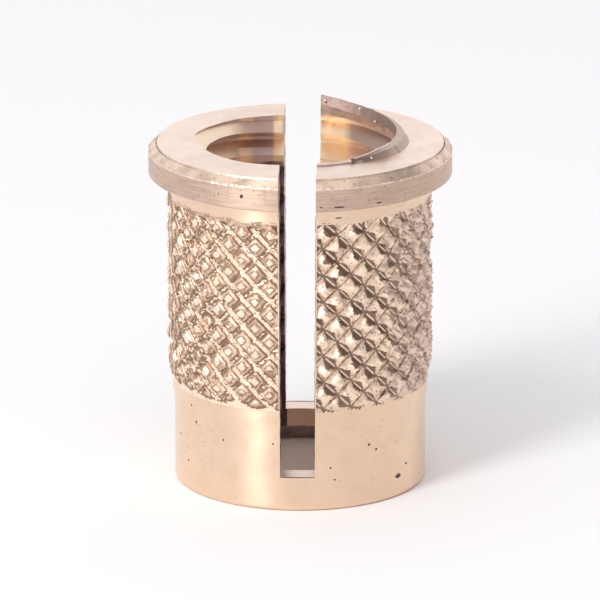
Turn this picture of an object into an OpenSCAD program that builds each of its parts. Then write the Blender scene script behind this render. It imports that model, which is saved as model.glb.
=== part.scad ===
// Flanged press-in threaded insert, turned, knurled and slotted from one piece of brass bar.
// Millimetres. The axis is Z, the foot stands on z = 0 and the sawn slot runs along Y.

/* [Body] */
// Height from the foot to the top face of the flange
total_h = 11; // [9:0.5:16]
// Diameter of the plain pilot ring that guides the insert into its hole
pilot_d = 8; // [7.6:0.05:8.3]
// Height of the plain pilot ring
pilot_h = 3.3; // [2.2:0.1:4.5]
// Diameter of the smooth neck between knurl and flange
neck_d = 8.3; // [7.8:0.05:8.6]
// Height of the smooth neck
neck_h = 0.62; // [0.3:0.02:1.2]
// Edge break round the outside of the foot
foot_break = 0.1; // [0.04:0.02:0.3]

/* [Flange] */
// Outside diameter of the flange
flange_d = 9.6; // [9:0.1:13]
// Thickness of the flange
flange_t = 1; // [0.6:0.05:2]
// Bevel round the top edge of the flange
flange_bevel = 0.28; // [0.1:0.02:0.5]

/* [Knurl] */
// Diameter over the tips of the knurl
knurl_d = 8.44; // [8.2:0.02:9]
// Depth of the grooves below the tips
knurl_depth = 0.16; // [0.1:0.01:0.3]
// Number of diamonds around the body
knurl_teeth = 28; // [22:1:40]
// Spacing of the diamonds along the axis
knurl_row = 0.87; // [0.6:0.01:1.4]
// Width of the worn flat on each diamond
knurl_flat = 0.22; // [0.06:0.02:0.3]
// How far inside the shoulders the diamonds run out
knurl_run_in = 0.07; // [0.03:0.01:0.12]

/* [Bore] */
// Diameter at the crests of the screw thread
thread_minor_d = 5; // [4:0.1:5.4]
// Advance of the screw thread in one turn
thread_pitch = 1; // [0.7:0.05:1.25]
// Direction in which the groove's middle passes the foot of the mouth, in degrees from the front
thread_phase = 195; // [0:5:355]
// Diameter of the countersunk mouth in the flange
mouth_d = 6.5; // [5.8:0.1:7]
// Diameter of the plain relief bore in the foot
relief_d = 6.4; // [5.8:0.1:6.8]
// Height of the plain relief bore
relief_h = 2.4; // [1.4:0.1:4]
// Height of the flare at the lower end of the relief bore
flare_h = 0.5; // [0.2:0.05:0.8]
// How far the flare opens the bore at the foot
flare_w = 0.3; // [0.1:0.02:0.4]

/* [Slot] */
// Width of the sawn slot at its floor
slot_w = 1.09; // [0.6:0.01:1.6]
// Extra width at the flange, where the two halves have sprung apart
slot_spread = 0.08; // [0:0.01:0.3]
// Height of the closed ring left below the slot
slot_floor = 1.1; // [0.6:0.1:2.5]

/* [Raised lip] */
// Radius of the upright inner wall of the lip
lip_inner_r = 2.97; // [2.7:0.01:3.1]
// Radius where the outer slope of the lip meets the flange
lip_outer_r = 3.48; // [3.3:0.02:3.9]
// Height of the lip just after its start
lip_low_h = 0.24; // [0.1:0.01:0.4]
// Height of the lip where the slot cuts it off
lip_high_h = 0.66; // [0.4:0.01:1]
// Direction in which the lip starts, in degrees from the front of the slot
lip_start = 31; // [25:1:60]
// Turn over which the start of the lip climbs out of the flange, in degrees
lip_ramp = 13; // [6:1:25]
// Radius that softens the top of the lip
lip_round = 0.09; // [0.04:0.01:0.12]
// How deep the root of the lip reaches into the flange
lip_root = 0.4; // [0.3:0.05:0.6]

/* [Hidden] */
$fn = 96;

brass = [0.88, 0.76, 0.55];
// Overlap of solids that are joined, and reach of cuts past the faces they open
overlap = 0.05;

pilot_r = pilot_d / 2;
neck_r = neck_d / 2;
flange_r = flange_d / 2;
minor_r = thread_minor_d / 2;
mouth_r = mouth_d / 2;
relief_r = relief_d / 2;
flange_z = total_h - flange_t;
neck_z = flange_z - neck_h;
mouth_depth = mouth_r - minor_r;
thread_depth = 0.6 * thread_pitch;
relief_cone = relief_r - minor_r;

tip_r = knurl_d / 2;
root_r = tip_r - knurl_depth;
columns = 2 * knurl_teeth;
column_turn = 360 / columns;
knurl_h = neck_z - pilot_h;
half_rows = max(4, round(2 * knurl_h / knurl_row));
row_step = (knurl_h + 2 * overlap) / half_rows;
// Half of a diamond's flat, as a turn about the axis and as a rise along it
flat_turn = knurl_flat / 2 / tip_r * 180 / PI;
flat_rise = knurl_flat / 2 * row_step / (tip_r * column_turn * PI / 180);

// Straight lengths in one turn of the thread
thread_steps = 24;

// The lip is swept to the middle of the slot, which then cuts it off at lip_cut
lip_steps = 24;
lip_turn = 180 - lip_start;
lip_cut = lip_turn - asin((slot_w + slot_spread) / 2 / lip_inner_r);

function around(r, angle, z) = [r * cos(angle), r * sin(angle), z];

// Faces of a section swept in equal steps, with a cap at each end. The section's points run from
// its foot outward and up, and back down nearer the axis.
function swept_faces(steps, sides) =
    let (
        start_cap = [for (side = [0:sides - 1]) sides - 1 - side],
        end_cap = [for (side = [0:sides - 1]) steps * sides + side],
        walls = [
            for (step = [0:steps - 1], side = [0:sides - 1])
                let (
                    a = step * sides + side,
                    b = step * sides + (side + 1) % sides
                )
                each [[a, b, b + sides], [a, b + sides, a + sides]]
        ]
    )
    concat(walls, [start_cap, end_cap]);

// Turned outline: foot, pilot ring, core under the knurl, neck and flange
module turned_blank() {
    core_r = min(root_r, pilot_r, neck_r) - knurl_run_in;
    rotate_extrude()
        polygon([
            [0, 0],
            [pilot_r - foot_break, 0],
            [pilot_r, foot_break],
            [pilot_r, pilot_h],
            [core_r, pilot_h],
            [core_r, neck_z],
            [neck_r, neck_z],
            [neck_r, flange_z],
            [flange_r, flange_z],
            [flange_r, total_h - flange_bevel],
            [flange_r - flange_bevel, total_h],
            [0, total_h]
        ]);
}

// The knurl is a lattice of sites, half a diamond apart each way. Where row and column add up
// to an even number a diamond stands, and between the diamonds two grooves cross.
function is_end(row) = row == 0 || row == half_rows;
function is_diamond(row, column) = (row + column) % 2 == 0;
function row_z(row) = pilot_h - overlap + row * row_step;
function run_out_r(row) = (row == 0 ? pilot_r : neck_r) - knurl_run_in;

// A diamond has the four corners of its flat: right, top, left, bottom
function flat_corners(row, column) = [
    for (corner = [0:3])
        around(tip_r,
               column * column_turn + flat_turn * cos(90 * corner),
               row_z(row) + flat_rise * sin(90 * corner))
];

function site_points(row, column) =
    is_end(row) ? [around(run_out_r(row), column * column_turn, row_z(row))]
    : is_diamond(row, column) ? flat_corners(row, column)
    : [around(root_r, column * column_turn, row_z(row))];

// Number of a site's first point: an end row has one point a site, the others five a pair
function row_start(row) = row == 0 ? 0 : columns + (row - 1) * 5 * knurl_teeth;
function in_pair(row, column) = (column % 2) * (row % 2 == 0 ? 4 : 1);
function site(row, turned_column) =
    let (column = (turned_column + columns) % columns)
    row_start(row) + (is_end(row) ? column : 5 * floor(column / 2) + in_pair(row, column));

// The four sites round a diamond, in the order of its corners
function beside(row, column, corner) =
    site(row + [0, 1, 0, -1][corner], column + [1, 0, -1, 0][corner]);
function reaches(row, corner) = corner < 2 ? row < half_rows : row > 0;

// One flank of a diamond, down to the two groove crossings at its foot
function flank(row, column, corner) =
    let (
        next = (corner + 1) % 4,
        foot_a = beside(row, column, corner),
        foot_b = beside(row, column, next),
        top = site(row, column)
    )
    is_end(row) ? [[top, foot_b, foot_a]]
    : [[top + corner, foot_b, foot_a], [top + corner, top + next, foot_b]];

module knurl() {
    points = [
        for (row = [0:half_rows], column = [0:columns - 1])
            each site_points(row, column)
    ];
    flanks = [
        for (row = [0:half_rows], column = [0:columns - 1], corner = [0:3])
            if (is_diamond(row, column) && reaches(row, corner))
                each flank(row, column, corner)
    ];
    flats = [
        for (row = [1:half_rows - 1], column = [0:columns - 1])
            if (is_diamond(row, column))
                let (top = site(row, column))
                each [[top + 2, top + 1, top], [top + 3, top + 2, top]]
    ];
    foot_cap = [for (column = [0:columns - 1]) site(0, column)];
    head_cap = [for (column = [0:columns - 1]) site(half_rows, columns - 1 - column)];
    polyhedron(points, concat(flanks, flats, [foot_cap, head_cap]));
}

// Countersunk mouth, threaded hole at its crest diameter, cone, relief bore and its flare
module stepped_bore() {
    flare_reach = flare_w * overlap / flare_h;
    rotate_extrude()
        polygon([
            [0, -overlap],
            [relief_r + flare_w + flare_reach, -overlap],
            [relief_r, flare_h],
            [relief_r, relief_h],
            [minor_r, relief_h + relief_cone],
            [minor_r, total_h - mouth_depth],
            [mouth_r + overlap, total_h + overlap],
            [0, total_h + overlap]
        ]);
}

// Section of the thread's groove as radius and height, a trapezoid with flanks at 60 degrees to
// each other, from its lower corner inside the bore round the root
function groove_section() =
    let (
        inner_r = minor_r - overlap,
        outer_r = minor_r + thread_depth,
        half_root = thread_pitch / 16,
        half_inner = half_root + (thread_depth + overlap) * tan(30)
    )
    [[inner_r, -half_inner], [outer_r, -half_root], [outer_r, half_root], [inner_r, half_inner]];

// Right-hand groove, wound from inside the relief bore up into the mouth, where it runs out. The
// crests between its turns stay parts of the bore's own cylinder.
module thread_groove() {
    corners = groove_section();
    sides = len(corners);
    groove_foot = relief_h - thread_pitch * 2 / 3;
    groove_head = total_h + thread_pitch / 2;
    steps = ceil((groove_head - groove_foot) / thread_pitch * thread_steps);
    start = thread_phase - 360 * (total_h - mouth_depth - groove_foot) / thread_pitch;
    points = [
        for (step = [0:steps], corner = corners)
            around(corner[0],
                   start - 90 + 360 * step / thread_steps,
                   groove_foot + thread_pitch * step / thread_steps + corner[1])
    ];
    polyhedron(points, swept_faces(steps, sides));
}

// The first turn of the thread, pushed up out of the flange as a lip that climbs with the lead
function lip_height(turn) =
    let (climb = max(0, (turn - lip_ramp) / (lip_cut - lip_ramp)))
    turn < lip_ramp
        ? lip_low_h * turn / lip_ramp - overlap
        : lip_low_h + (lip_high_h - lip_low_h) * pow(climb, 3);

// Section of the lip as radius and height above the flange, from the outer root round the top
function lip_section(height) = [
    [lip_outer_r, -lip_root],
    [lip_outer_r, -overlap],
    [lip_inner_r + 2 * lip_round, height],
    [lip_inner_r + lip_round, height],
    [lip_inner_r, height - lip_round],
    [lip_inner_r, -lip_root]
];

module raised_lip() {
    sides = len(lip_section(lip_low_h));
    points = [
        for (step = [0:lip_steps])
            let (turn = lip_turn * step / lip_steps)
            for (corner = lip_section(lip_height(turn)))
                around(corner[0], lip_start + turn - 90, total_h + corner[1])
    ];
    polyhedron(points, swept_faces(lip_steps, sides));
}

// Saw cut through both walls, a little wider at the flange than at its floor
module sawn_slot() {
    rise = total_h - slot_floor;
    reach = lip_height(lip_turn) + overlap;
    half_floor = slot_w / 2;
    half_top = half_floor + slot_spread / 2 * (rise + reach) / rise;
    rotate([90, 0, 0])
        linear_extrude(height = flange_d + 2 * overlap, center = true)
            polygon([
                [-half_floor, slot_floor],
                [half_floor, slot_floor],
                [half_top, total_h + reach],
                [-half_top, total_h + reach]
            ]);
}

module insert_body() {
    color(brass)
        difference() {
            union() {
                difference() {
                    union() {
                        turned_blank();
                        knurl();
                    }
                    stepped_bore();
                    thread_groove();
                }
                raised_lip();
            }
            sawn_slot();
        }
}

insert_body();
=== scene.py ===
# %% [markdown]
# A press-in threaded insert is a short brass sleeve: a flange, a smooth neck, a diamond knurl that
# bites into its hole, and a plain ring that guides it in. A saw cut lets the two halves spring.
# The frame loaded here holds the plain solid. Bump textures could dress it up, but fine metalwork
# shows real edges, so the cells below make a finely worked twin that stands for it.

# %% Load the frame
import math

import bmesh
import bpy
import numpy as np
from mathutils import Matrix, Vector


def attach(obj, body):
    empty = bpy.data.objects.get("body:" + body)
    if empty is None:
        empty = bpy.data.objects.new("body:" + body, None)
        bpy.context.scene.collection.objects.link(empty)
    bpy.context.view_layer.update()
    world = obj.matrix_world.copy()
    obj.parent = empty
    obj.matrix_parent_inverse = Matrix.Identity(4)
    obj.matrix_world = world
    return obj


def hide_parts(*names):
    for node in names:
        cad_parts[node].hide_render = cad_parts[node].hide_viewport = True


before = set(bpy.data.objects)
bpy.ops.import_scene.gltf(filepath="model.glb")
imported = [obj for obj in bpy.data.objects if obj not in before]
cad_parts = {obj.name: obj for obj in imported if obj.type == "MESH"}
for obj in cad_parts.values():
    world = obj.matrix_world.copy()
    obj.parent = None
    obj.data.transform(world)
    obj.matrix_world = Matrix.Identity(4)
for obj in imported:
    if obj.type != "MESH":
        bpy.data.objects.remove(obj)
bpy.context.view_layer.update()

# %% [markdown]
# All shapes are worked in millimetres, as a machinist reads them, and scaled to metres at the end.
# Each operation on the real lathe becomes one closed solid, which is joined to the piece or cut from
# it. Strips of faces could be welded by hand instead, but a boolean keeps the result watertight.

# %% Make a closed solid
def closed_solid(name, points, faces):
    mesh = bpy.data.meshes.new(name)
    mesh.from_pydata(np.asarray(points, float).tolist(), [], faces)
    shaped = bmesh.new()
    shaped.from_mesh(mesh)
    bmesh.ops.recalc_face_normals(shaped, faces=shaped.faces[:])
    loose = sum(not edge.is_manifold for edge in shaped.edges)
    shaped.to_mesh(mesh)
    shaped.free()
    solid = bpy.data.objects.new(name, mesh)
    bpy.context.collection.objects.link(solid)
    print(name, "has", len(mesh.polygons), "faces and", loose, "open edges")
    return solid


# %% Use a solid as a tool
def work(piece, tool, operation):
    step = piece.modifiers.new(tool.name, "BOOLEAN")
    step.operation = operation
    step.solver = "MANIFOLD"
    step.object = tool
    graph = bpy.context.evaluated_depsgraph_get()
    worked = bpy.data.meshes.new_from_object(piece.evaluated_get(graph))
    piece.modifiers.clear()
    piece.data = worked
    bpy.data.meshes.remove(tool.data)
    print(operation.lower(), "leaves", len(worked.polygons), "faces")


# %% [markdown]
# Turning makes every smooth surface of the insert. An outline spun about the axis is the natural way
# to it, with a fine step so that highlights run round unbroken. A screw modifier would spin it too.
# Here it is done by hand, because extra rings are wanted close to each corner: they keep the shading
# flat up to the edge, as a sharp tool leaves it.

# %% Add rings beside the corners
CORNER_RING = 0.012


def with_corner_rings(outline):
    full = [outline[0]]
    for (r0, z0), (r1, z1) in zip(outline[:-1], outline[1:]):
        long = math.hypot(r1 - r0, z1 - z0)
        if long > 4 * CORNER_RING and min(r0, r1) > 0:
            for share in (CORNER_RING / long, 1 - CORNER_RING / long):
                full.append((r0 + (r1 - r0) * share, z0 + (z1 - z0) * share))
        full.append((r1, z1))
    return full


# %% Spin an outline into a solid
TURN_STEPS = 320


def band(near, far, many):
    after = [(k + 1) % many for k in range(many)]
    return [(near + k, near + after[k], far + after[k], far + k) for k in range(many)]


def fan(hub, first, many):
    return [(hub, first + (k + 1) % many, first + k) for k in range(many)]


def spun(name, outline):
    outline = with_corner_rings(outline)
    turn = np.linspace(0, 2 * np.pi, TURN_STEPS, endpoint=False)
    points = [(0, 0, outline[0][1])]
    for r, z in outline[1:-1]:
        points += [(r * math.cos(a), r * math.sin(a), z) for a in turn]
    points.append((0, 0, outline[-1][1]))
    rings = range(1, len(points) - 1, TURN_STEPS)
    faces = fan(0, rings[0], TURN_STEPS) + fan(len(points) - 1, rings[-1], TURN_STEPS)
    for low in rings[:-1]:
        faces += band(low, low + TURN_STEPS, TURN_STEPS)
    return closed_solid(name, points, faces)


# %% [markdown]
# The blank comes first: foot, guide ring, a plain core where the knurl will sit, neck and flange. On
# the real one it is turned from bar in one go. It could be a stack of cylinders, but one outline has
# no seams inside, and it gives every corner the small round or chamfer that the tool's nose leaves.
# Each corner is a radius and a height.

# %% Turn the blank
ring_r, ring_z = 4.0, 3.3
core_r = 3.88
neck_r, neck_z = 4.15, 9.38
flange_r, flange_z = 4.8, 10.0
top_z = 11.0
bevel_z = top_z - 0.285
foot = [(0, 0), (3.87, 0), (3.945, 0.02), (3.985, 0.06), (ring_r, 0.12)]
guide_ring = [(ring_r, ring_z - 0.14), (ring_r, ring_z - 0.02), (ring_r - 0.02, ring_z)]
core = [(core_r, ring_z), (core_r, neck_z)]
neck = [(neck_r - 0.02, neck_z), (neck_r, neck_z + 0.02), (neck_r, neck_z + 0.22),
        (neck_r, flange_z - 0.03), (neck_r - 0.03, flange_z)]
flange = [(flange_r - 0.03, flange_z), (flange_r, flange_z + 0.03),
          (flange_r, bevel_z), (flange_r - 0.01, top_z - 0.27)]
fine_groove = [(4.575, top_z - 0.05), (4.55, top_z - 0.075), (4.532, top_z - 0.012)]
top_face = [(4.52, top_z), (0, top_z)]
insert = spun("insert_brass", foot + guide_ring + core + neck + flange + fine_groove + top_face)

# %% [markdown]
# The knurl gives the insert its look. Two families of grooves cross at about 45 degrees and leave
# blunt diamonds. A plain grid of displaced points would blur them. So the mesh follows the grooves
# themselves, in the two diagonal directions, and each groove floor and flank has its own clean edge.
# One family was rolled last, so its grooves are wide and clean. The other is narrower, and metal
# pushed sideways blocks it here and there.

# %% Set out the knurl's lattice
TEETH = 28
ROW = 0.87
FLAT = 0.13
PER_TOOTH = 10
PHASE_TURN, PHASE_RISE = 0.07, -0.35
around_lines = TEETH * PER_TOOTH


def line_place(index, floor, skew):
    low, high, far = FLAT + skew, 0.5 - floor, 0.5 + floor
    back = 1 - FLAT + skew
    places = [skew - FLAT, skew, low, (2 * low + high) / 3, (low + 2 * high) / 3,
              high, 0.5, far, (2 * far + back) / 3, (far + 2 * back) / 3]
    return np.floor_divide(index, PER_TOOTH) + np.choose(np.mod(index, PER_TOOTH), places)


print("knurl:", TEETH, "teeth round, and one each", ROW, "mm up")

# %% [markdown]
# The two sides of the knurl differ. On the left the grooves have wide floors. On the right they close
# up to creases, and the diamonds lean over. One lattice with two fixed shapes would show a seam, so
# the floors' width and the lean change smoothly with the direction, from left to right.

# %% Place the mesh lines
SHIFT = 0.18
RIGHT_FROM, RIGHT_TO = -0.08, 0.12
knurl_low, knurl_high = ring_z - 0.05, neck_z + 0.12
rise_steps = int(2 * ((knurl_high - knurl_low) / ROW - PHASE_RISE) * PER_TOOTH)


def smooth_step(value, low, high):
    share = np.clip((value - low) / (high - low), 0, 1)
    return share * share * (3 - 2 * share)


b, c = np.meshgrid(np.arange(around_lines), np.arange(rise_steps + 1), indexing="ij")
sideways = np.sin(((2 * b + c) / (2 * PER_TOOTH) + PHASE_TURN) * 2 * np.pi / TEETH)
rightward = smooth_step(sideways, RIGHT_FROM, RIGHT_TO)
clean_floor = 0.10 - 0.06 * rightward
blocked_floor = 0.07 - 0.055 * rightward
skew = 0.13 * rightward
p = line_place(b + c, clean_floor, 0.0)
q = line_place(b, blocked_floor, skew)
turn, rise = (p + q) / 2 + PHASE_TURN - SHIFT * rightward, (p - q) / 2
angle = turn * 2 * np.pi / TEETH - np.pi / 2
z = knurl_low + (rise + PHASE_RISE) * ROW
print("knurl points:", z.size)

# %% [markdown]
# No two diamonds of a rolled knurl are alike: each is a little high or low, leans its own way, and has
# a torn skin. A noise texture could roughen them all at once, but it knows nothing of the teeth. So
# each tooth draws its own errors, and a fixed seed makes them the same at every run.

# %% Draw the knurl's errors
SEED = 28
chance = np.random.default_rng(SEED)


def numbered(value, many):
    return np.mod(value, many).astype(int)


tooth = numbered(np.round(p), TEETH), numbered(np.round(q - skew), TEETH)
tooth_error = chance.normal(0, 1, (TEETH, TEETH))[tooth]
lean = chance.normal(0, 1, (2, TEETH, TEETH))[:, tooth[0], tooth[1]]
grain = chance.normal(0, 1, p.shape)
plug = numbered(np.round(2 * p), 2 * TEETH), numbered(np.floor(q), TEETH)
block = np.clip(chance.normal(-0.3, 0.8, (2 * TEETH, TEETH))[plug], 0, 1.2)
print("blocked share of the narrow grooves:", round(float((block > 0).mean()), 2))

# %% [markdown]
# A diamond rises from the groove floors to a blunt tip. The left flanks climb in two steps, where the
# roller skidded, and the right ones climb straight. Sculpting each tooth would take days. A height
# for each family of grooves does it, and the lower of the two wins, as when two rollers cross.

# %% Work out the height of a flank
def flank_height(place, floor, skew, straight):
    off = place - np.floor(place + 0.5) - skew
    room = np.where(off > 0, 0.5 - floor - FLAT - skew, 0.5 - floor - FLAT + skew)
    climb = np.clip(1 - (np.abs(off) - FLAT) / room, 0, 1)
    stepped = np.interp(climb, [0, 1 / 3, 2 / 3, 1], [0, 0.44, 0.56, 1])
    return stepped + (1 - (1 - climb) ** 1.2 - stepped) * straight


clean = flank_height(p, clean_floor, 0.0, rightward)
blocked = flank_height(q, blocked_floor, skew, rightward)
blocked = np.maximum(blocked, 0.08 + 0.45 * block * (clean > 0.05))
worn = smooth_step(sideways, 0.62, 0.86)
high = np.minimum(clean, blocked) * (1 - 0.45 * worn) + 0.2 * worn
print("mean height of the knurl, from floor 0 to tip 1:", round(float(high.mean()), 2))

# %% Raise the diamonds
tip_r, root_r = 4.215, 4.06
floor_r = root_r - 0.05 * rightward
rough_side = 1 + 1.4 * smooth_step(-sideways, 0.5, 0.8) + 1.8 * smooth_step(sideways, 0.5, 0.8)
bumps = 0.015 * tooth_error * high + (0.009 + 0.004 * rightward) * grain
tilt = (0.09 + 0.04 * rightward) * np.minimum(rough_side, 1.4 - 0.5 * worn)
slope = lean[0] * (p - np.round(p)) + lean[1] * (q - np.round(q))
radius = floor_r + (tip_r - floor_r) * high + rough_side * bumps
radius += tilt * high * slope
radius = np.maximum(radius, floor_r - 0.03)
print("knurl radius in mm:", round(float(radius.min()), 3), "to", round(float(radius.max()), 3))

# %% [markdown]
# The roller doesn't stop on a line. At the foot the diamonds fade in over most of a row, and at the
# neck they end more sharply, both with an uneven edge. A straight cut would look like a printed
# sleeve. So a ceiling and a floor, whose edges wander round the insert, hold the radius in.

# %% Run the diamonds out at both ends
RUN_IN, RUN_OUT = 0.75, 0.30


def wander(angle, waves, strength):
    total = np.zeros_like(np.asarray(angle, float))
    for wave in waves:
        total = total + np.sin(wave * angle + chance.uniform(0, 2 * np.pi)) * chance.uniform(0.5, 1)
    return strength * total / math.sqrt(len(waves))


foot_edge = wander(angle, (5, 9, 13, 22, 28), 0.10)
head_edge = wander(angle, (4, 7, 15, 23, 28), 0.09)
run_in = np.clip((z - ring_z - 0.02 - foot_edge) / RUN_IN, 0, 1)
ceiling = ring_r - 0.012 + (tip_r + 0.04 - ring_r) * run_in ** 0.55 - 0.04 * (z < ring_z - 0.04)
radius = np.minimum(radius, ceiling + 0.008 * grain)
run_out = np.clip((neck_z + 0.02 + head_edge - z) / RUN_OUT, 0, 1)
radius = np.minimum(radius, neck_r + 0.003 + (tip_r + 0.05 - neck_r) * run_out)
radius = np.maximum(radius, neck_r + 0.003 + (root_r - neck_r) * np.clip(run_out * 1.6, 0, 1))
print("uneven edge at the foot, in mm:", round(float(np.ptp(foot_edge)), 2))

# %% [markdown]
# The knurled sleeve is part of the same bar, so it has to become one with the blank. Its skin is a
# sheared grid that meets itself round the back, and two fans of triangles to the axis close the ends.
# The solid then joins the core, which is smaller all round, so no gap can stay between them.

# %% Close the knurl into a solid
def knurl_face(*places):
    return [(b % around_lines) * (rise_steps + 1) + c for b, c in places]


points = np.stack([radius * np.cos(angle), radius * np.sin(angle), z], -1).reshape(-1, 3)
foot_hub, head_hub = len(points), len(points) + 1
points = np.vstack([points, [(0, 0, knurl_low), (0, 0, knurl_high)]])
last = rise_steps
faces = []
for b in range(around_lines):
    for c in range(1, last):
        faces.append(knurl_face((b, c), (b, c + 1), (b + 1, c), (b + 1, c - 1)))
    faces.append(knurl_face((b, 0), (b, 1), (b + 1, 0)))
    faces.append(knurl_face((b, last), (b + 1, last), (b + 1, last - 1)))
for b in range(around_lines):
    faces.append([foot_hub] + knurl_face((b + 1, 0), (b, 0)))
    faces.append([head_hub] + knurl_face((b, last), (b + 1, last)))
work(insert, closed_solid("knurl", points, faces), "UNION")

# %% [markdown]
# The bar had pores, and the bench left dents: on the guide ring, on the flange's wall, and one on the
# neck. Dark spots in a texture could stand for them, but a real dimple shades itself from every side.
# Each is a small lens, placed where the photo shows it, and cut half its thickness deep.

# %% List the pores and drag marks
# Each row: direction from the slot's front in degrees, height, half width and half height.
flange_flaws = [(-21, 10.43, 0.06, 0.07), (16, 10.14, 0.16, 0.03), (9, 10.16, 0.05, 0.02),
                (32, 10.14, 0.10, 0.02)]
neck_flaws = [(18, 9.6, 0.12, 0.02)]
ring_flaws = [(-58, 2.9, 0.05, 0.05), (-54, 2.4, 0.04, 0.05), (-70, 1.7, 0.05, 0.05),
              (-36, 2.1, 0.03, 0.04), (-61, 1.0, 0.04, 0.04), (-11, 2.2, 0.03, 0.03),
              (52, 0.7, 0.13, 0.09), (34, 2.0, 0.05, 0.04), (38, 1.8, 0.04, 0.05),
              (58, 1.0, 0.06, 0.04), (15, 1.4, 0.03, 0.04), (17, 1.0, 0.04, 0.03)]
flaws = []
for surface_r, rows in ((flange_r, flange_flaws), (neck_r, neck_flaws), (ring_r, ring_flaws)):
    flaws += [(surface_r, *row) for row in rows]
print("flaws to cut:", len(flaws))

# %% Cut the pores and drag marks
DIMPLE_SIDES = 10
dimple_turn = np.radians(np.arange(0, 360, 360 / DIMPLE_SIDES))
dimple_rings = [(-0.045, 0.0), (-0.03, 0.7), (0.0, 1.0), (0.03, 0.7), (0.045, 0.0)]


def round_place(r, turn, z):
    return (r * math.sin(turn), -r * math.cos(turn), z)


points, faces = [], []
for surface_r, direction, height, half_wide, half_high in flaws:
    inner_tip = len(points)
    for depth, share in dimple_rings:
        for around in dimple_turn[:1] if share == 0 else dimple_turn:
            size = share * (1 + chance.normal(0, 0.12))
            over, up = half_wide * size * math.cos(around), half_high * size * math.sin(around)
            turn = math.radians(direction) + over / surface_r
            points.append(round_place(surface_r + depth, turn, height + up))
    inner, middle, outer, outer_tip = range(inner_tip + 1, len(points), DIMPLE_SIDES)
    faces += fan(inner_tip, inner, DIMPLE_SIDES) + fan(outer_tip, outer, DIMPLE_SIDES)
    faces += band(inner, middle, DIMPLE_SIDES) + band(middle, outer, DIMPLE_SIDES)
work(insert, closed_solid("flaws", points, faces), "DIFFERENCE")

# %% [markdown]
# The facing tool leaves a fine row of burrs along the lower edge of the bevel. Single beads could be
# strewn there, but they would look threaded on a string. So it is one thin ring whose thickness
# wanders: where it is thin it sinks into the edge, and what stays breaks up into beads.

# %% Leave burrs on the bevel's edge
BURR_STEPS = 900
burr_form = np.radians([0, 60, 120, 180, 240, 300])
BURR_SIDES = len(burr_form)
turn = np.linspace(0, 2 * np.pi, BURR_STEPS, endpoint=False)
thick = 0.018 + wander(turn, (31, 47, 71, 96, 133, 170), 0.020) + wander(turn, (2, 3, 7), 0.008)
thick = np.clip(thick, 0.003, 0.06)
lift = wander(turn, (5, 11, 26, 60), 0.008)
points, faces = [], []
for a, size, up in zip(turn, thick, lift):
    for side in burr_form:
        r = flange_r - 0.012 + size * 0.8 * math.cos(side)
        height = top_z - 0.262 + up + 1.3 * size * math.sin(side)
        points.append((r * math.cos(a), r * math.sin(a), height))
for step in range(BURR_STEPS):
    faces += band(step * BURR_SIDES, (step + 1) % BURR_STEPS * BURR_SIDES, BURR_SIDES)
work(insert, closed_solid("burrs", points, faces), "UNION")

# %% [markdown]
# The bore is drilled, opened at the mouth, tapped from the top and relieved in the foot. The mouth is
# not round: the last turn of the thread breaks out through the top face, so the edge of the hole and
# the slope below it change with the direction. A countersink would be the same all round, so a bowl
# whose section follows the direction cuts it. Directions are in degrees from the front of the slot,
# through the right-hand side.

# %% Measure the mouth
MOUTH_STEPS = 360
# Each row: direction, radius of the edge, where the slope starts and where the wall starts.
mouth = np.array([
    (0, 2.93, 10.0, 10.36), (31, 2.95, 10.1, 10.46), (95, 2.97, 10.29, 10.65),
    (155, 2.97, 10.48, 10.84), (172, 3.0, 10.51, 10.87), (188, 3.10, 10.33, 10.80),
    (206, 3.17, 10.40, 10.85), (220, 3.27, 10.50, 10.91), (236, 3.31, 10.60, 10.93),
    (257, 3.42, 10.74, 10.965), (272, 3.30, 10.78, 10.98), (285, 3.17, 10.72, 10.98),
    (300, 3.15, 10.6, 10.95), (330, 3.10, 10.4, 10.85), (353, 2.90, 10.1, 10.5),
    (360, 2.93, 10.0, 10.36),
]).T
degrees = np.arange(MOUTH_STEPS) * 360 / MOUTH_STEPS
edge, slope, wall = [np.interp(degrees, mouth[0], column) for column in mouth[1:]]
edge = edge + wander(np.radians(degrees), (17, 29, 44, 61, 83), 0.008)
undercut = np.interp(degrees, [0, 172, 188, 353, 360], [0.15, 0.15, 0.01, 0.01, 0.15])
print("mouth radius in mm:", round(edge.min(), 2), "to", round(edge.max(), 2))

# %% Open the mouth
bore_r = 2.44
above_z = 11.2
points = [(0, 0, 9.5)]
for direction, edge_r, low, up, under in zip(np.radians(degrees), edge, slope, wall, undercut):
    deep_r = edge_r + under
    bowl = [(bore_r, 9.6), (bore_r, low), (deep_r, up), (deep_r, up + 0.66 * under),
            (edge_r, up + 0.005 + 1.25 * under), (edge_r, above_z)]
    points += [round_place(r, direction, height) for r, height in bowl]
points.append((0, 0, above_z))
sides = len(bowl)
faces = []
for k in range(MOUTH_STEPS):
    near, far = 1 + sides * k, 1 + sides * ((k + 1) % MOUTH_STEPS)
    faces.append((0, far, near))
    for side in range(sides - 1):
        faces.append((near + side, far + side, far + side + 1, near + side + 1))
    faces.append((near + sides - 1, far + sides - 1, len(points) - 1))
work(insert, closed_solid("mouth", points, faces), "DIFFERENCE")

# %% [markdown]
# Below the thread the bore is wider, so that the halves can spring, and a chamfer opens it at the
# foot. Two drills would leave this on the real one. A second spun outline cuts it in one go, and
# it goes a little past the foot, because two faces that lie in one plane confuse a boolean.

# %% Relieve the foot
relief_r = 3.2
work(insert, spun("relief", [
    (0, -0.1), (3.56, -0.1), (3.5, 0), (relief_r, 0.5), (relief_r, 2.4), (bore_r, 3.16), (0, 3.16),
]), "DIFFERENCE")

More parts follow.
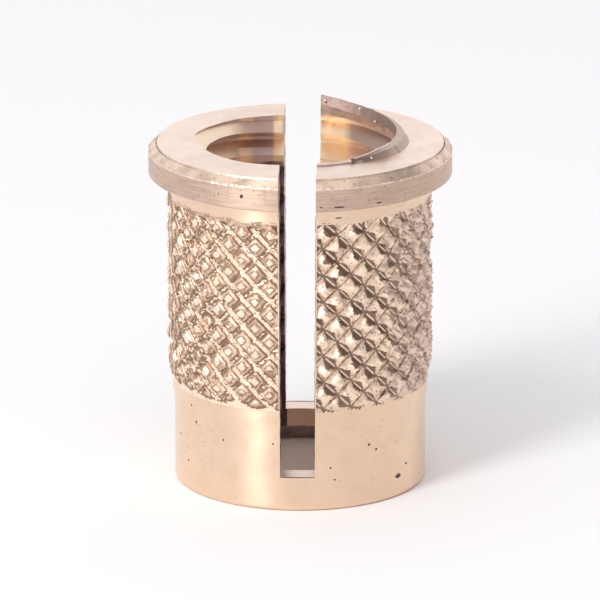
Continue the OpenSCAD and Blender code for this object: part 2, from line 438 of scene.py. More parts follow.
# %% [markdown]
# The thread is a true right-hand screw of 1 mm pitch. A screw modifier makes an even one. Here the
# turns spread apart near the top, where the last one was dragged up, so each point of the tap is
# worked out from its direction and its turn. The mesh lines follow the helix, which makes each crest
# one clean edge.

# %% Shape the tap
PITCH = 1.0
TAP_STEPS = 144
TAP_TURNS = 10
TOP_TURN = 9
CREST_R, FLANK_R, ROOT_R = 2.5, 2.81, 3.12
tap_form = [(-0.5, CREST_R), (-0.41, CREST_R), (-0.23, FLANK_R), (-0.05, ROOT_R),
            (0.05, ROOT_R), (0.23, FLANK_R), (0.41, CREST_R)]
SIDES = len(tap_form)
tap_lines = TAP_TURNS * SIDES
groove_z, groove_turn = 10.244, 195
drag_turn = [195, 228, 259, 280, 292, 353, 420]
drag_lift = [0, 0.10, 0.15, 0.29, 0.42, 0.52, 0.60]


def tap_point(step, line):
    whole, part = divmod(line, SIDES)
    offset, r = tap_form[part]
    direction = 360 * step / TAP_STEPS
    unwound = direction + 360 * (whole - TOP_TURN)
    height = groove_z + PITCH * ((unwound - groove_turn) / 360 + offset)
    height += np.interp(unwound, drag_turn, drag_lift)
    r += chance.normal(0, 0.004)
    return round_place(r, math.radians(direction), height)


points = [tap_point(step, line) for line in range(tap_lines + 1) for step in range(TAP_STEPS)]
print("tap from", round(float(points[0][2]), 2), "to", round(float(points[-1][2]), 2), "mm")

# %% [markdown]
# The skin of the tap is one long ribbon. After a full turn a line meets the line of the next turn,
# which is what makes it a screw and not a pile of rings. The two loose ends are closed by fans to
# points on the axis.

# %% Close the tap and cut with it
def tap_index(step, line):
    return (line + SIDES) * TAP_STEPS if step == TAP_STEPS else line * TAP_STEPS + step


last = TAP_STEPS - 1
faces = []
for line in range(tap_lines):
    for step in range(TAP_STEPS):
        if step < last or line + 1 + SIDES <= tap_lines:
            faces.append((tap_index(step, line), tap_index(step + 1, line),
                          tap_index(step + 1, line + 1), tap_index(step, line + 1)))
low_rim = [tap_index(step, 0) for step in range(TAP_STEPS)]
low_rim += [tap_index(0, line) for line in range(SIDES, 0, -1)]
high_rim = [tap_index(step, tap_lines) for step in range(TAP_STEPS)]
high_rim += [tap_index(last, line) for line in range(tap_lines - 1, tap_lines - SIDES - 1, -1)]
low_hub, high_hub = len(points), len(points) + 1
points += [(0, 0, points[0][2] - 0.6), (0, 0, points[-1][2] + 1.5)]
for rim, hub in ((low_rim, low_hub), (high_rim, high_hub)):
    faces += [(hub, rim[k - 1], rim[k]) for k in range(len(rim))]
work(insert, closed_solid("tap", points, faces), "DIFFERENCE")

# %% [markdown]
# The first turn of the thread has pushed a lip of metal up out of the flange on the right. It starts
# as a low bead beside the slot and climbs to the back. A curve with a bevel could sweep it, but its
# section changes on the way, so it is lofted: one section for every half degree.

# %% Measure the lip
LIP_STEPS = 330
bead_start, lip_start, lip_end, lip_cut = 6.0, 30.0, 181.0, 168.0
CLIMB_START = 44
BEAD_HEIGHT = 0.08
lip_turn = np.linspace(bead_start, lip_end, LIP_STEPS + 1)
climb = np.clip((lip_turn - CLIMB_START) / (lip_cut - CLIMB_START), 0, None)
lip_height = 0.24 + 0.42 * climb ** 3
grown = smooth_step(lip_turn, lip_start - 4, lip_start + 30)
nib = 0.05 * np.exp(-((lip_turn - 33) / 1.6) ** 2)
lip_height = BEAD_HEIGHT + (lip_height - BEAD_HEIGHT) * grown + nib
lip_low = np.interp(lip_turn, [6, 31, 95, 155, 172], [-0.40, -0.32, -0.16, 0.03, 0.06])
ragged = wander(np.radians(lip_turn), (17, 31, 52), 0.009)
slack = wander(np.radians(lip_turn), (9, 21, 37, 58), 0.012)
shoulder = 0.03 + 0.16 * smooth_step(lip_turn, 75, 130)
rim_height = lip_height + ragged * (0.3 + 0.7 * grown)
print("the lip stands", round(rim_height.max(), 2), "mm above the flange")

# %% Raise the lip at the mouth
LIP_R = 2.97
points = []
for turn, h, low, wide, loose, cut in zip(lip_turn, rim_height, lip_low, grown, slack, shoulder):
    base = min(-0.3, low - 0.25)
    out = 3.12 + (0.33 + loose) * wide
    top = 3.05 + (0.21 + loose) * wide
    heel = 3.16 - 0.12 * (1 - wide)
    section = [(LIP_R, low), (LIP_R, h - 1.25 * cut - 0.02),
               (LIP_R + 0.5 * cut, h - 0.6 * cut - 0.01), (LIP_R + cut, h),
               (3.012 + cut, h - 0.006), (top + 0.012, h - 0.03), (top + 0.05, h * 0.66 - 0.02),
               (out, -0.02), (out, base), (heel, base), (heel, low - 0.10)]
    points += [round_place(r, math.radians(turn), top_z + up) for r, up in section]
corners = len(section)
faces = [tuple(range(corners)), tuple(range(LIP_STEPS * corners, (LIP_STEPS + 1) * corners))]
for step in range(LIP_STEPS):
    faces += band(step * corners, (step + 1) * corners, corners)
work(insert, closed_solid("lip", points, faces), "UNION")

# %% [markdown]
# A few tiny chips stick to the lip, and they shine as small dots. Bright spots in the finish would
# not stand out from the edge, so each chip is a bead that is sunk about halfway in.

# %% Stick chips to the lip
# Each row: distance from the axis, direction, height and radius.
chips = [(2.96, 141.5, 11.42, 0.045), (2.96, 128, 11.14, 0.04), (3.34, 43, 11.13, 0.035),
         (3.0, 166, 11.52, 0.05)]
chip_places = []
for from_centre, direction, up, size in chips:
    place = round_place(from_centre, math.radians(direction), up)
    chip_places.append(place)
    bead = bmesh.new()
    bmesh.ops.create_icosphere(bead, subdivisions=2, radius=size, matrix=Matrix.Translation(place))
    bead.verts.index_update()
    points = [tuple(vertex.co) for vertex in bead.verts]
    faces = [[vertex.index for vertex in face.verts] for face in bead.faces]
    bead.free()
    work(insert, closed_solid("chip", points, faces), "UNION")

# %% [markdown]
# The slitting saw comes last and cuts through everything: flange, lip, knurl and half the ring. The
# cut is a little wider at the top, where the halves have sprung apart. A plain block would leave
# faces like glass, so each row of the block's sides drifts a little, as the marks of a saw do.

# %% Shape the saw cut
slot_floor, slot_top = 1.1, 12.0
floor_half, mouth_half = 0.545, 0.585
SAW_ROWS, SAW_COLUMNS = 90, 40


def slot_half(height):
    return floor_half + (mouth_half - floor_half) * (height - slot_floor) / (top_z - slot_floor)


saw_z = np.linspace(slot_floor, slot_top, SAW_ROWS + 1)
saw_y = np.linspace(-6, 6, SAW_COLUMNS + 1)
points = []
for side in (-1, 1):
    for half, height in zip(slot_half(saw_z), saw_z):
        drift = chance.normal(0, 0.004)
        for depth in saw_y:
            points.append((side * (half + drift + chance.normal(0, 0.003)), depth, height))
print("the slot is", 2 * slot_half(top_z), "mm wide at the top")

# %% Saw the slot
per_row = SAW_COLUMNS + 1
per_side = (SAW_ROWS + 1) * per_row
faces = []
for first in (0, per_side):
    for row in range(SAW_ROWS):
        for column in range(SAW_COLUMNS):
            k = first + row * per_row + column
            faces.append((k, k + 1, k + per_row + 1, k + per_row))
for column in range(SAW_COLUMNS):
    for row in (0, SAW_ROWS):
        k = row * per_row + column
        faces.append((k, k + 1, per_side + k + 1, per_side + k))
for row in range(SAW_ROWS):
    for column in (0, SAW_COLUMNS):
        k = row * per_row + column
        faces.append((k, k + per_row, per_side + k + per_row, per_side + k))
work(insert, closed_solid("saw", points, faces), "DIFFERENCE")

# %% [markdown]
# The saw pushes a thin burr out along each edge of the slot, where it cuts through the knurl. In the
# photo it catches the light as a fine bright line. A bevel on the edge would be too even, so it is a
# thin bead whose thickness wanders, like the burrs on the flange.

# %% Leave burrs along the slot
EDGE_STEPS = 150
EDGE_R = 4.17
edge_z = np.linspace(ring_z + 0.08, neck_z + 0.3, EDGE_STEPS + 1)
edge_x = slot_half(edge_z)
for front, side in ((-1, -1), (-1, 1), (1, -1), (1, 1)):
    thick = np.clip(0.028 + wander(edge_z, (5, 9, 16, 27, 41), 0.010), 0.012, 0.05)
    points, faces = [], []
    for over, up, size in zip(edge_x + 0.012, edge_z, thick):
        back = math.sqrt(EDGE_R ** 2 - over ** 2)
        for around in burr_form:
            across = side * (over + size * math.cos(around))
            points.append((across, front * (back + size * math.sin(around)), up))
    for step in range(EDGE_STEPS):
        faces += band(step * BURR_SIDES, (step + 1) * BURR_SIDES, BURR_SIDES)
    faces += [tuple(range(BURR_SIDES)), tuple(range(EDGE_STEPS * BURR_SIDES, len(points)))]
    work(insert, closed_solid("slot_burr", points, faces), "UNION")

# %% [markdown]
# The finished solid is scaled to metres. Shading it flat would show every facet of the turned walls,
# and smoothing it all would melt the diamonds. So it is shaded smooth, but edges sharper than 30
# degrees stay crisp: turned walls look round while each diamond keeps its facets.

# %% Shade the solid
MM = 0.001
mesh = insert.data
mesh.transform(Matrix.Scale(MM, 4))
mesh.shade_smooth()
mesh.set_sharp_from_angle(angle=math.radians(30))
print("triangles:", sum(len(face.vertices) - 2 for face in mesh.polygons))

# %% [markdown]
# A finish is a small tree of shader nodes. They could be wired by hand in the node editor. Here a few
# helpers do it, because every finish needs the same steps: add a node with its sockets set, stretch
# a value over a range, look it up in a row of colours, or mix two colours.

# %% Add nodes and stretch values
def added(tree, kind, **values):
    node = tree.nodes.new("ShaderNode" + kind)
    for socket, value in values.items():
        node.inputs[socket.replace("_", " ")].default_value = value
    return node


def noise(tree, place, per_mm, detail):
    node = added(tree, "TexNoise", Scale=per_mm / MM, Detail=detail)
    tree.links.new(place, node.inputs["Vector"])
    return node.outputs["Fac"]


def ranged(tree, value, start, stop, low=0, high=1):
    node = added(tree, "MapRange", From_Min=start, From_Max=stop, To_Min=low, To_Max=high)
    tree.links.new(value, node.inputs["Value"])
    return node.outputs["Result"]


# %% Look up and mix colours
def ramped(tree, value, stops):
    node = tree.nodes.new("ShaderNodeValToRGB")
    ramp = node.color_ramp
    for end, (place, tone) in ((0, stops[0]), (1, stops[-1])):
        ramp.elements[end].position = place
        ramp.elements[end].color = (*tone, 1)
    for place, tone in stops[1:-1]:
        ramp.elements.new(place).color = (*tone, 1)
    tree.links.new(value, node.inputs["Fac"])
    return node.outputs["Color"]


def mixed(tree, share, first, second):
    blend = tree.nodes.new("ShaderNodeMix")
    blend.data_type = "RGBA"
    tree.links.new(share, blend.inputs["Factor"])
    for socket, tone in ((blend.inputs["A"], first), (blend.inputs["B"], second)):
        if isinstance(tone, tuple):
            socket.default_value = (*tone, 1)
        else:
            tree.links.new(tone, socket)
    return blend.outputs["Result"]


# %% [markdown]
# Bright brass takes its colour from what it mirrors, so a finish is mostly roughness. Tool marks run
# round the turned walls, and they smear a reflection up and down. Cut as geometry they would need
# millions of faces, and anisotropy gives the same smear. One recipe serves all the finishes, with
# its own gloss, smear, grain and tones for each.

# %% Write the recipe for brass
def brass_finish(name, gloss, smear, grain_per_mm, grain_depth, tones=None, stretch=(1, 1, 1)):
    finish = bpy.data.materials.new(name)
    finish.use_nodes = True
    tree = finish.node_tree
    shader = tree.nodes["Principled BSDF"]
    shader.inputs["Metallic"].default_value = 1
    shader.inputs["Anisotropic"].default_value = smear
    shader.inputs["Anisotropic Rotation"].default_value = 0.25
    way_round = added(tree, "Tangent")
    way_round.direction_type = "RADIAL"
    way_round.axis = "Z"
    tree.links.new(way_round.outputs["Tangent"], shader.inputs["Tangent"])
    scaled = added(tree, "Mapping", Scale=stretch)
    tree.links.new(added(tree, "TexCoord").outputs["Object"], scaled.inputs["Vector"])
    cloud = noise(tree, scaled.outputs["Vector"], 1.4, 5)
    rough = ranged(tree, cloud, 0, 1, gloss - 0.05, gloss + 0.07)
    tree.links.new(rough, shader.inputs["Roughness"])
    if tones:
        tint = ramped(tree, cloud, [(0.3, tones[0]), (0.62, tones[1])])
        tree.links.new(tint, shader.inputs["Base Color"])
    bump = added(tree, "Bump", Strength=1, Distance=grain_depth * MM)
    grain = noise(tree, scaled.outputs["Vector"], grain_per_mm, 3)
    tree.links.new(grain, bump.inputs["Height"])
    tree.links.new(bump.outputs["Normal"], shader.inputs["Normal"])
    return finish


# %% Mix the brass finishes
turned = brass_finish("turned_brass", 0.30, 0.8, 4, 0.002, [(0.84, 0.62, 0.45), (0.89, 0.67, 0.50)])
topped = brass_finish("topped_brass", 0.30, 0.5, 5, 0.003, [(0.85, 0.66, 0.54), (0.97, 0.78, 0.65)])
bevelled = brass_finish("bevelled_brass", 0.32, 0, 9, 0.008, [(0.62, 0.46, 0.35), (0.97, 0.77, 0.60)])
faced = brass_finish("faced_brass", 0.42, 0.6, 5, 0.004, [(0.54, 0.39, 0.31), (0.70, 0.52, 0.40)],
                     stretch=(1, 1, 16))
# Painted light: the deep bore's tones are lightened; the dark patch, saw cut and lip are painted
# shade.
relieved = brass_finish("deep_lightened_brass", 0.75, 0, 6, 0.004, [(0.98, 0.78, 0.62), (1.0, 0.85, 0.70)])
painted_shade_finish = brass_finish("painted_shade_brass", 0.42, 0, 7, 0.008, [(0.13, 0.09, 0.10), (0.20, 0.14, 0.15)])
grainy_shade = brass_finish("grainy_shade_brass", 0.38, 0, 8, 0.010, [(0.34, 0.26, 0.26), (0.50, 0.39, 0.37)])
shaded_lip_wall = brass_finish("shaded_lip_wall_brass", 0.42, 0, 9, 0.012, [(0.46, 0.33, 0.27), (0.68, 0.51, 0.41)])
knurled = brass_finish("knurled_brass", 0.26, 0, 10, 0.024)
tapped = brass_finish("tapped_brass", 0.50, 0, 7, 0.010)
mouth_painted_light = brass_finish("mouth_painted_light_brass", 0.40, 0, 7, 0.008)
pressed = brass_finish("shaded_lip_flank_brass", 0.42, 0, 10, 0.014)
shaded_lip_edge = brass_finish("shaded_lip_edge_brass", 0.48, 0, 9, 0.014)
finishes = [turned, topped, bevelled, faced, relieved, knurled, tapped, mouth_painted_light, painted_shade_finish, grainy_shade, pressed,
            shaded_lip_edge, shaded_lip_wall]
print("finishes:", [finish.name for finish in finishes])

# %% [markdown]
# Fine dark specks lie on the flange, where chips were pressed into the metal, and short scratches run
# round the guide ring. They are too many to cut one by one. A fine noise, of which only the lowest
# values count, scatters them, and each surface has its own size and share of specks. The same noise,
# squeezed in height, gives scratches that run round.

# %% Speckle the flange and scratch the ring
def speckle(finish, per_mm, share, colour, stretch=(1, 1, 1)):
    tree = finish.node_tree
    shader = tree.nodes["Principled BSDF"]
    under = shader.inputs["Base Color"].links[0].from_socket
    drawn_out = added(tree, "Mapping", Scale=stretch)
    tree.links.new(tree.nodes["Texture Coordinate"].outputs["Object"], drawn_out.inputs["Vector"])
    dust = noise(tree, drawn_out.outputs["Vector"], per_mm, 1)
    specks = ranged(tree, dust, share + 0.04, share)
    tree.links.new(mixed(tree, specks, under, colour), shader.inputs["Base Color"])
    print(finish.name, "has specks at", per_mm, "per mm")


speckle(topped, 6, 0.24, (0.66, 0.50, 0.41))
speckle(bevelled, 8, 0.30, (0.56, 0.40, 0.32))
speckle(faced, 10, 0.26, (0.36, 0.26, 0.20))
speckle(turned, 5, 0.18, (0.60, 0.43, 0.32))
speckle(turned, 1.8, 0.275, (0.72, 0.52, 0.38), (1, 1, 12))

# %% [markdown]
# The bore and the lip get painted light and shade by their distance from the slot: bright gold
# bands as painted reflections, mostly near the slot, dull purplish tones as painted shade farther off,
# and brown painted shade on the lip. Painting by hand would need an image. The tone depends on the
# distance from the slot alone, so a row of colours laid from left to right does it.

# %% Paint light and shade across the bore and the lip
def tone_across(finish, stops):
    tree = finish.node_tree
    sides = added(tree, "SeparateXYZ")
    tree.links.new(tree.nodes["Texture Coordinate"].outputs["Object"], sides.inputs[0])
    across = ranged(tree, sides.outputs["X"], -3 * MM, 3 * MM)
    shader = tree.nodes["Principled BSDF"]
    tree.links.new(ramped(tree, across, stops), shader.inputs["Base Color"])
    print(finish.name, "changes its tone at", len(stops), "places")


# The bright tone is a painted reflection, the dull one painted shade.
dull, bright = (0.72, 0.58, 0.57), (1.0, 0.80, 0.56)
gold, brown = (0.72, 0.50, 0.34), (0.50, 0.38, 0.32)
tone_across(tapped, [
    (0.15, dull), (0.18, bright), (0.22, bright), (0.25, dull), (0.34, dull), (0.36, bright),
    (0.73, bright), (0.77, (0.80, 0.61, 0.50)), (0.86, (0.74, 0.56, 0.47))])
# On the slope at the mouth: painted reflections of the light from above, painted shade between.
tone_across(mouth_painted_light, [
    (0.11, (0.96, 0.76, 0.57)), (0.20, (0.58, 0.41, 0.32)), (0.34, (0.58, 0.41, 0.33)),
    (0.355, bright), (0.385, bright), (0.40, gold), (0.58, bright), (0.72, bright), (0.77, brown)])
# On the lip's rounded edge and outer flank: painted shade, lightening on the flank to the far right.
tone_across(shaded_lip_edge, [
    (0.60, (0.37, 0.27, 0.24)), (0.72, (0.33, 0.23, 0.20)), (0.90, (0.29, 0.20, 0.165))])
tone_across(pressed, [
    (0.60, (0.20, 0.13, 0.10)), (0.84, (0.25, 0.17, 0.14)), (0.98, (0.60, 0.46, 0.38))])

# %% [markdown]
# The tones of the knurl follow its teeth: light tips and floors are painted highlights, and dark
# flanks are painted shade. A texture would have to be lined up with the mesh. Instead every point of
# the mesh notes where it is on the lattice: how high it stands, and how far it is from the nearest
# groove of either family. The distance from a clean groove is counted in flank sizes, which differ
# from cell to cell.

# %% Note where each point lies on the knurl
def note(name, values):
    mesh.attributes.new(name, "FLOAT", "POINT").data.foreach_set("value", values)
    print(name, "is noted on", len(values), "points")


spot = np.empty(len(mesh.vertices) * 3)
mesh.vertices.foreach_get("co", spot)
spot_x, spot_y, spot_z = spot.reshape(-1, 3).T * 1000
turns = np.arctan2(spot_x, -spot_y) * TEETH / (2 * np.pi) - PHASE_TURN
turns = turns + SHIFT * smooth_step(spot_x / tip_r, RIGHT_FROM, RIGHT_TO)
rises = (spot_z - knurl_low) / ROW - PHASE_RISE
clean_place, blocked_place = turns + rises, turns - rises
cell = numbered(np.floor(clean_place), TEETH), numbered(np.round(blocked_place), TEETH)
flank_size = np.clip(chance.normal(1, 0.3, (2, TEETH, TEETH)), 0.45, 1.6)[:, cell[0], cell[1]]
off = clean_place - np.floor(clean_place) - 0.5
note("from_clean", np.where(off < 0, -off / (1.5 * flank_size[0]), off / flank_size[1]))
note("from_blocked", np.abs(blocked_place - np.floor(blocked_place) - 0.5))
note("stand", np.clip((np.hypot(spot_x, spot_y) - root_r) / (tip_r - root_r), 0, 1))

# %% [markdown]
# On the left of the slot the rollers burnished the tips and the groove floors and tore the flanks,
# which the gloss shows. The tone follows the height as painted light and shade: a light floor and a
# light tip are painted highlights, and the flank is painted shade, darkest next to the floor and below
# the tip, with a paler step halfway up. A fine noise is added to the height first, because the
# borders between tones would otherwise be as sharp as print.

# %% Paint light and shade on the left of the knurl by height
tree = knurled.node_tree
place = tree.nodes["Texture Coordinate"].outputs["Object"]


def noted(name):
    node = added(tree, "Attribute")
    node.attribute_name = name
    return node.outputs["Fac"]


def reckoned(operation, *terms):
    node = added(tree, "Math")
    node.operation = operation
    for socket, term in zip(node.inputs, terms):
        if isinstance(term, float):
            socket.default_value = term
        else:
            tree.links.new(term, socket)
    return node.outputs["Value"]


spots = noise(tree, place, 9, 2)
blur = ranged(tree, spots, 0, 1, -0.11, 0.13)
uneven = reckoned("ADD", noted("stand"), blur)
# Painted highlights on floor and tip, painted shade on the flank.
left_light_and_shade = ramped(tree, uneven, [
    (0.05, (0.97, 0.79, 0.61)), (0.11, (0.28, 0.18, 0.12)), (0.26, (0.34, 0.22, 0.15)),
    (0.38, (0.56, 0.39, 0.28)), (0.46, (0.82, 0.60, 0.43)), (0.55, (0.72, 0.53, 0.43)),
    (0.64, (0.46, 0.32, 0.23)), (0.76, (0.38, 0.26, 0.18)), (0.86, (0.97, 0.80, 0.64))])
print("left of the knurl: nine tones from floor to tip")

# %% [markdown]
# On the right the diamonds are pale, a little lighter where they stand higher, and a dark leaf of
# painted shade lies along each clean groove, where the flank turns away from the light. Height alone
# can't draw a leaf. It is widest far from the blocked grooves and comes to a point at them, so its
# edge is a share of the distance from these. Painted shade in the creases along the blocked grooves,
# small nicks and light floors as painted reflections are laid over it in turn.

# %% Lay leaves of painted shade on the right of the knurl
LEAF_WIDTH = 0.44
from_clean, from_blocked = noted("from_clean"), noted("from_blocked")
# Lighter where the diamonds stand higher: painted light.
right_tone = ramped(tree, uneven, [(0.0, (0.80, 0.60, 0.46)), (0.50, (0.96, 0.77, 0.59))])
nicks = ranged(tree, spots, 0.40, 0.34)
right_tone = mixed(tree, nicks, right_tone, (0.50, 0.36, 0.28))
# Painted shade in the creases and leaves; the light floors are painted reflections.
crease = ranged(tree, reckoned("MULTIPLY_ADD", blur, 0.5, from_blocked), 0.06, 0.02)
right_tone = mixed(tree, crease, right_tone, (0.28, 0.18, 0.13))
leaf_edge = reckoned("MULTIPLY_ADD", from_blocked, LEAF_WIDTH, blur)
leaf = ranged(tree, reckoned("SUBTRACT", from_clean, leaf_edge), 0.03, 0.0)
right_tone = mixed(tree, leaf, right_tone, (0.25, 0.17, 0.12))
painted_floor_glint, off_crossing = ranged(tree, from_clean, 0.04, 0.02), ranged(tree, from_blocked, 0.14, 0.24)
right_tone = mixed(tree, reckoned("MULTIPLY", painted_floor_glint, off_crossing), right_tone, (0.86, 0.66, 0.54))
print("right of the knurl: nicks, creases, leaves and floors")

# %% [markdown]
# The far right of the knurl is worn and dull. The two sides meet at the slot, front and back, and the
# gloss changes there as the tone does: burnished tips and floors on the left, an even satin on the
# right. Two materials would meet at a hard line, so one material mixes both from left to right.

# %% Join the two sides of the knurl
def grey(value):
    return (value, value, value)


shader = tree.nodes["Principled BSDF"]
sides = added(tree, "SeparateXYZ")
tree.links.new(place, sides.inputs[0])
dull_side = ranged(tree, sides.outputs["X"], 2.7 * MM, 3.6 * MM, 0, 0.45)
right_tone = mixed(tree, dull_side, right_tone, (0.66, 0.49, 0.42))
to_right = ranged(tree, sides.outputs["X"], -0.4 * MM, 0.6 * MM)
tree.links.new(mixed(tree, to_right, left_light_and_shade, right_tone), shader.inputs["Base Color"])
left_rough = ramped(tree, uneven, [
    (0.06, grey(0.26)), (0.16, grey(0.5)), (0.78, grey(0.5)), (0.92, grey(0.26))])
right_rough = ramped(tree, uneven, [(0.3, grey(0.40)), (0.9, grey(0.38))])
tree.links.new(mixed(tree, to_right, left_rough, right_rough), shader.inputs["Roughness"])
print("nodes in the knurl's finish:", len(tree.nodes))

# %% [markdown]
# Each face takes the finish of the tool that cut it. Faces could be picked by hand in edit mode, but a
# boolean numbers them anew each time. So each face is found by where it lies and which way it looks.
# The rules run in order, and a later one wins. First come the walls outside: knurl, top, bevel and
# the flange's wall. All else is turned.

# %% Measure the faces and finish the outside
count = len(mesh.polygons)
centre, normal = np.empty(count * 3), np.empty(count * 3)
mesh.polygons.foreach_get("center", centre)
mesh.polygons.foreach_get("normal", normal)
x, y, z = centre.reshape(-1, 3).T * 1000
normal_x, normal_y, upward = normal.reshape(-1, 3).T
from_axis = np.hypot(x, y)
outward = (x * normal_x + y * normal_y) / np.maximum(from_axis, 1e-6)
which = np.full(count, finishes.index(turned))


def give(finish, where):
    which[where] = finishes.index(finish)
    print(finish.name, "goes on", np.count_nonzero(where), "faces")


plain = (np.abs(from_axis - neck_r) < 0.006) & (np.abs(upward) < 0.05)
give(knurled, (z > ring_z - 0.02) & (z < neck_z + 0.15) & (from_axis > 3.6) & ~plain)
give(topped, (z > top_z - 0.03) & (upward > 0.9))
give(bevelled, (from_axis > 4.5) & (z > bevel_z) & (upward < 0.96))
give(faced, (from_axis > flange_r - 0.02) & (z > flange_z) & (z < bevel_z))

# %% [markdown]
# Inside, the thread has the tap's finish, and the slope at the mouth carries painted reflections of
# the light from above. Deep down the metal is matt, and its tones are lightened to stand in for light
# in the dim bore. One patch beside the slot at the back is painted dark as shade, and the photo shows
# it as a dark strip through the slot. The chamfer at the foot is painted dark as shade too. One finish
# with a painted mask could cover all this. Separate finishes are simpler, because their borders are
# mostly real edges.

# %% Finish the bore
deep_z = 9.3
inside = (from_axis < 3.58) & (outward < 0.3) & (z < top_z - 0.02)
deep = inside & (z < deep_z)
give(tapped, inside | (from_axis < 3.0) & (outward < -0.5))
# Painted reflections on the slope at the mouth.
give(mouth_painted_light, inside & (upward > 0.35) & (z > 10.12))
# Lightened tones deep down: painted light.
give(relieved, deep)
# A patch painted dark as shade.
give(painted_shade_finish, deep & (z > 1.15) & (x < -0.5) & (x > -1.3) & (y > 0))
# The chamfer at the foot painted dark as shade.
give(grainy_shade, inside & (z < 0.52))

# %% [markdown]
# The lip was squeezed up. Its outer flank is rough and its inner wall is rubbed, and both are painted
# in darker tones as shade, while its rounded edge is painted darkest. Only the crest at the front and
# the low bead beside the slot keep the bright top finish. A gradient from foot to crest could shade
# it, but the tones change at the edges of its section, so its faces are told apart by their slope.

# %% Finish the lip
direction = np.degrees(np.arctan2(x, -y)) % 360
rim = top_z + np.interp(direction, lip_turn, rim_height, 0, 0)
raised = (z > top_z + 0.004) & (from_axis < 3.6)
# The outer flank, the inner wall and the rounded edge take painted shade.
give(pressed, (z > top_z + 0.005) & (from_axis > 2.98) & (outward > -0.5))
give(shaded_lip_wall, raised & (outward < -0.8))
give(shaded_lip_edge, raised & (outward < -0.2) & (upward > 0.3))
give(topped, raised & (z > rim - 0.009) & (upward > 0.6) & (direction < 68))
give(topped, raised & (direction < 32) & (upward > 0.2))
# A dark line of painted shade along the foot of the lip.
give(grainy_shade, raised & (z < top_z + 0.025) & (outward > 0.3))

# %% [markdown]
# The saw leaves dull faces beside the slot, painted dark as shade in the narrow cut, and a bright
# floor below it. The fine groove round the top is painted dark as shade too. The small things come
# last, because they lie on other surfaces: bright chips and burrs, and pores painted dark as shade in
# their hollows. They could be marked while they are made, but the values they were made from find
# them again just as well.

# %% Finish the slot and the small marks
groove = (from_axis > 4.535) & (from_axis < 4.572) & (z > top_z - 0.076)
# Painted shade in the fine groove and on the faces of the saw cut.
give(grainy_shade, groove & (outward < 0.2))
give(grainy_shade, (np.abs(x) < 0.61) & (np.abs(normal_x) > 0.96) & (z > slot_floor))
give(topped, (np.abs(x) < 0.55) & (np.abs(z - slot_floor) < 0.01) & (upward > 0.9))
for (chip_x, chip_y, chip_z), (_, _, _, size) in zip(chip_places, chips):
    away = np.sqrt((x - chip_x) ** 2 + (y - chip_y) ** 2 + (z - chip_z) ** 2)
    give(topped, away < size * 1.02)
beside = np.interp(z, edge_z, edge_x, 0, 0) + 0.05
give(topped, (np.abs(x) < beside) & (from_axis > 4.13) & (z < neck_z + 0.3))
# Pores and drag marks painted dark as shade.
for surface_r, low, high in ((ring_r, 0.2, ring_z - 0.06), (neck_r, neck_z + 0.16, flange_z - 0.02),
                             (flange_r, flange_z + 0.06, top_z - 0.32)):
    sunk = surface_r - from_axis
    give(painted_shade_finish, (z > low) & (z < high) & (sunk > 0.006) & (sunk < 0.06))
give(topped, (from_axis > flange_r - 0.004) & (z > top_z - 0.31))

# %% [markdown]
# The faces now know their finishes, and the mesh gets the list of materials that their numbers point
# to. The insert has no moving parts, so it rides on the one body and stands for the one plain solid.

# %% Put the finishes on and tie the insert to the frame
mesh.materials.clear()
for finish in finishes:
    mesh.materials.append(finish)
mesh.polygons.foreach_set("material_index", which)
for finish, faces in zip(finishes, np.bincount(which, minlength=len(finishes))):
    print(finish.name, "covers", faces, "faces")
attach(insert, "root")
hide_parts("insert_body")

# %% [markdown]
# The insert stands on a sheet of white paper that fills the view. A curved backdrop is common in a
# studio, but the camera looks down, so a flat sheet is enough. Paper has hardly any shine.

# %% Lay the floor
corners = [(0.5 * across, 0.5 * along, 0) for across, along in ((-1, -1), (1, -1), (1, 1), (-1, 1))]
floor_mesh = bpy.data.meshes.new("floor")
floor_mesh.from_pydata(corners, [], [(0, 1, 2, 3)])
floor = bpy.data.objects.new("floor", floor_mesh)
bpy.context.collection.objects.link(floor)
paper = bpy.data.materials.new("white_paper")
paper.use_nodes = True
sheet = paper.node_tree.nodes["Principled BSDF"]
sheet.inputs["Base Color"].default_value = (0.93, 0.93, 0.93, 1)
sheet.inputs["Roughness"].default_value = 0.9
sheet.inputs["Specular IOR Level"].default_value = 0.1
floor_mesh.materials.append(paper)
print("floor laid:", tuple(floor.dimensions))

# %% [markdown]
# Metal shows its surroundings, so the light is that of a small white tent: bright behind and overhead,
# with a darker room towards the camera, which gives the brass its contrast. Walls of cloth could be
# modelled, but a world that is painted by direction does the same and throws no shadow.

# %% Paint the tent
world = bpy.data.worlds.new("tent")
bpy.context.scene.world = world
world.use_nodes = True
tent = world.node_tree
tent.nodes.clear()
way = added(tent, "SeparateXYZ")
tent.links.new(added(tent, "TexCoord").outputs["Generated"], way.inputs[0])


def glow_between(axis, low, high):
    step = added(tent, "MapRange", From_Min=low, From_Max=high)
    step.interpolation_type = "SMOOTHSTEP"
    tent.links.new(way.outputs[axis], step.inputs["Value"])
    return step.outputs["Result"]


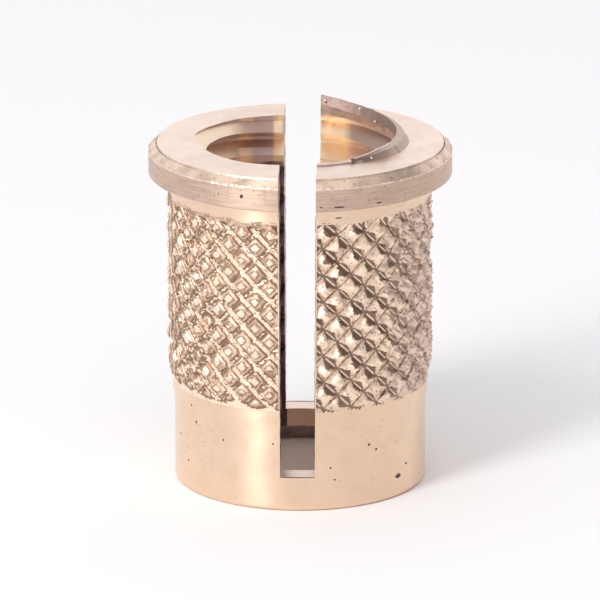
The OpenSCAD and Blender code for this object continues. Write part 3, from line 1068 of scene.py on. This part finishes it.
high_up = glow_between("Z", 0.35, 0.6)
front = mixed(tent, glow_between("Z", 0.10, 0.45), (0.50, 0.47, 0.48), (0.17, 0.14, 0.15))
left = mixed(tent, high_up, (0.80, 0.80, 0.83), (1.0, 1.0, 1.02))
right = mixed(tent, high_up, (0.40, 0.38, 0.40), (0.62, 0.60, 0.61))
cloth = mixed(tent, glow_between("X", -0.8, -0.35), left, front)
cloth = mixed(tent, glow_between("X", 0.4, 0.85), cloth, right)
cloth = mixed(tent, glow_between("Z", 0.74, 0.95), cloth, (0.80, 0.78, 0.79))
cloth = mixed(tent, glow_between("Y", 0.25, 0.75), cloth, (1.0, 1.0, 1.03))
room = added(tent, "Background")
tent.links.new(cloth, room.inputs["Color"])
tent.links.new(room.outputs[0], added(tent, "OutputWorld").inputs[0])
print("nodes in the tent:", len(tent.nodes))

# %% [markdown]
# Two softboxes add to the tent. The key, tall and narrow at the front left, draws the bright upright
# band on the turned walls. The fill, wide and high at the front, opens the shadows of the knurl.
# Point lamps would put hard sparks on metal, so both are area lamps that look at the insert.

# %% Hang the softboxes
LAMP_AIM = Vector((0, 0, 0.005))


def seen_from(azimuth, elevation):
    a, e = math.radians(azimuth), math.radians(elevation)
    return Vector((math.sin(a) * math.cos(e), -math.cos(a) * math.cos(e), math.sin(e)))


def hang(obj, aim, azimuth, elevation, distance):
    bpy.context.collection.objects.link(obj)
    obj.location = aim + distance * seen_from(azimuth, elevation)
    obj.rotation_euler = (aim - obj.location).to_track_quat("-Z", "Y").to_euler()
    print(obj.name, "hangs at", tuple(round(value, 4) for value in obj.location))


def softbox(name, azimuth, elevation, distance, width, height, power):
    lamp = bpy.data.lights.new(name, "AREA")
    lamp.shape = "RECTANGLE"
    lamp.size, lamp.size_y = width, height
    lamp.energy = power
    hang(bpy.data.objects.new(name, lamp), LAMP_AIM, azimuth, elevation, distance)


softbox("key", -39, 30, 0.45, 0.11, 0.42, 1.2)
softbox("fill", 0, 44, 0.5, 0.60, 0.46, 0.93)

# %% [markdown]
# The photo was taken from a little above and a hair to the right of the slot. A short lens close by
# would bend the round flange, so a long lens stands well back. The view transform is the plain one,
# so that colours come out as they are written.

# %% Set up the camera
camera_data = bpy.data.cameras.new("camera")
camera_data.sensor_width = 36
camera_data.lens = 390
camera_data.clip_start = 0.01
camera_data.clip_end = 5
camera = bpy.data.objects.new("camera", camera_data)
hang(camera, Vector((-0.00001, 0, 0.00574)), 1.3, 16.8, 0.2067)
bpy.context.scene.camera = camera
bpy.context.scene.view_settings.view_transform = "Standard"
